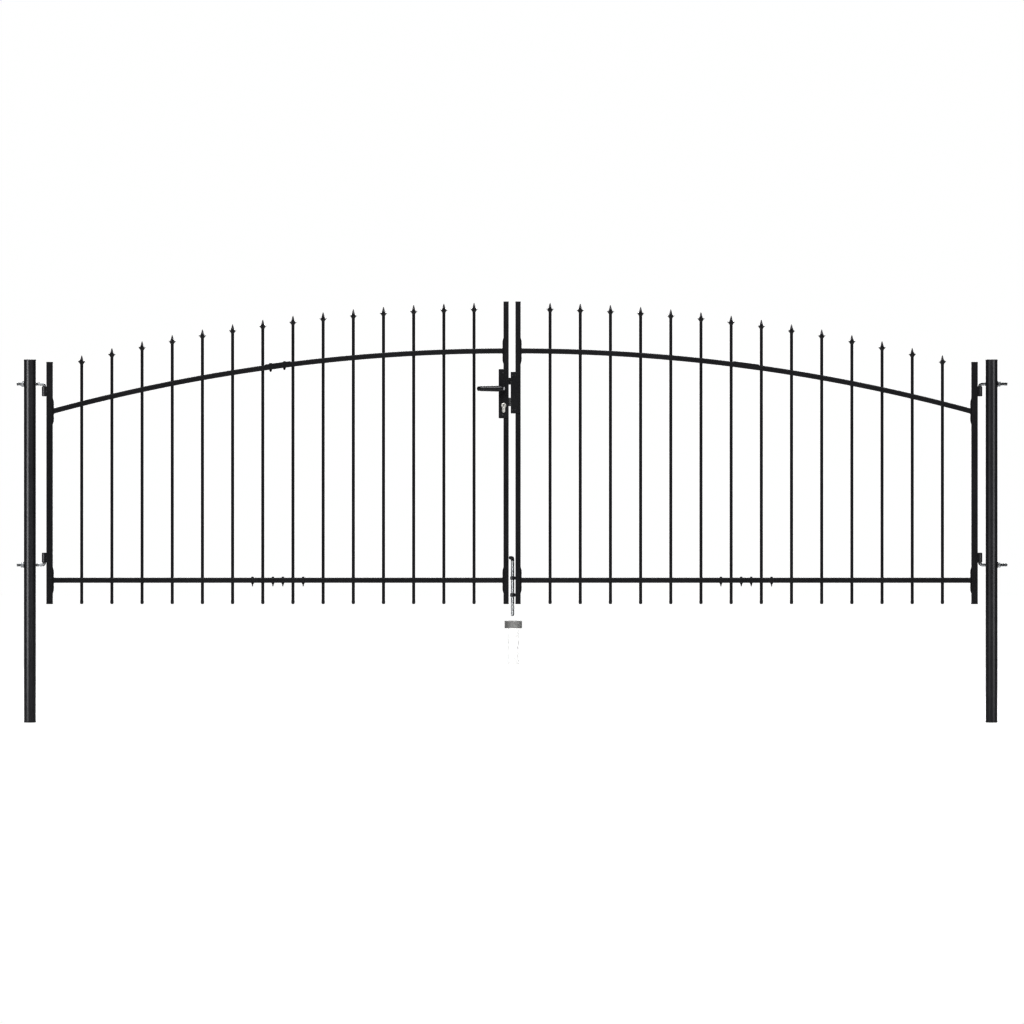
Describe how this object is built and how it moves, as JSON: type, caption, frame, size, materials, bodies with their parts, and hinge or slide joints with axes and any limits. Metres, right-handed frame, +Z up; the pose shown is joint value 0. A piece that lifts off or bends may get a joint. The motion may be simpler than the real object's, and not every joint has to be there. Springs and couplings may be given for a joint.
{
  "type": "double swing driveway gate",
  "caption": "Arched steel double swing gate with spear-topped pickets, round posts, pin hinges, lever lock, keeper, drop rod and ground socket.",
  "frame": {"origin": "centre of the left post's flat foot", "axes": "+X along the closed gate from the left post to the right, +Y the way both leaves open, +Z up"},
  "size_m": [4.0949, 0.125, 1.74],
  "materials": {
    "black_coat": "black powder coat, satin, with a fine texture",
    "black_plastic": "moulded black plastic, matte",
    "zinc": "bright zinc plate over steel",
    "nickel": "satin nickel plate over brass",
    "dark_steel": "black coated steel, worn smooth where it slides",
    "grey_cast": "grey galvanised collar, dull",
    "white_plastic": "white plastic tube, matte"
  },
  "bodies": {
    "posts": {"left_post": "black_coat", "left_post_cap": "black_plastic", "left_post_foot": "black_plastic", "left_upper_hinge_bolt": "zinc", "left_lower_hinge_bolt": "zinc", "left_hinge_nuts": "zinc", "right_post": "black_coat", "right_post_cap": "black_plastic", "right_post_foot": "black_plastic", "right_upper_hinge_bolt": "zinc", "right_lower_hinge_bolt": "zinc", "right_hinge_nuts": "zinc", "ground_socket_collar": "grey_cast", "ground_socket_tube": "white_plastic"},
    "left_leaf": {"left_hinge_stile": "black_coat", "left_latch_stile": "black_coat", "left_stile_caps": "black_plastic", "left_hinge_barrels": "black_coat", "left_hinge_side_panel": "black_coat", "left_latch_side_panel": "black_coat", "left_spear_points": "black_coat", "left_picket_caps": "black_plastic", "left_top_splice": "black_coat", "left_bottom_splice": "black_coat", "lock_case": "black_coat", "key_cylinder": "nickel"},
    "right_leaf": {"right_hinge_stile": "black_coat", "right_latch_stile": "black_coat", "right_stile_caps": "black_plastic", "right_hinge_barrels": "black_coat", "right_hinge_side_panel": "black_coat", "right_latch_side_panel": "black_coat", "right_spear_points": "black_coat", "right_picket_caps": "black_plastic", "right_top_splice": "black_coat", "right_bottom_splice": "black_coat", "keeper": "black_coat", "drop_rod_guides": "black_coat"},
    "lever": {"front_lever": "black_coat", "rear_lever": "black_coat", "lever_spindle": "zinc"},
    "latch": {"latch_bolt": "dark_steel"},
    "dead_bolt": {"dead_bolt": "dark_steel"},
    "drop_rod": {"drop_rod": "zinc"}
  },
  "joints": [
    {"name": "left_leaf_swing", "type": "hinge", "parent": "posts", "child": "left_leaf", "pos_m": [0.0595, 0, 0.49], "axis": [0, 0, 1], "range_deg": [0, 90]},
    {"name": "right_leaf_swing", "type": "hinge", "parent": "posts", "child": "right_leaf", "pos_m": [3.9274, 0, 0.49], "axis": [0, 0, -1], "range_deg": [0, 90]},
    {"name": "lever_turn", "type": "hinge", "parent": "left_leaf", "child": "lever", "pos_m": [1.9587, 0, 1.38], "axis": [0, -1, 0], "range_deg": [0, 40], "stiffness_Nm_per_rad": 1.2, "springref_deg": -34.38},
    {"name": "latch_slide", "type": "slide", "parent": "left_leaf", "child": "latch", "axis": [-1, 0, 0], "range_m": [0, 0.0086]},
    {"name": "dead_bolt_slide", "type": "slide", "parent": "left_leaf", "child": "dead_bolt", "axis": [-1, 0, 0], "range_m": [-0.014, 0.008]},
    {"name": "drop_rod_slide", "type": "slide", "parent": "right_leaf", "child": "drop_rod", "axis": [0, 0, 1], "range_m": [-0.065, 0]}
  ],
  "couplings": [
    {"joint": "latch_slide", "follows": "lever_turn", "m_per_rad": 0.012175}
  ]
}
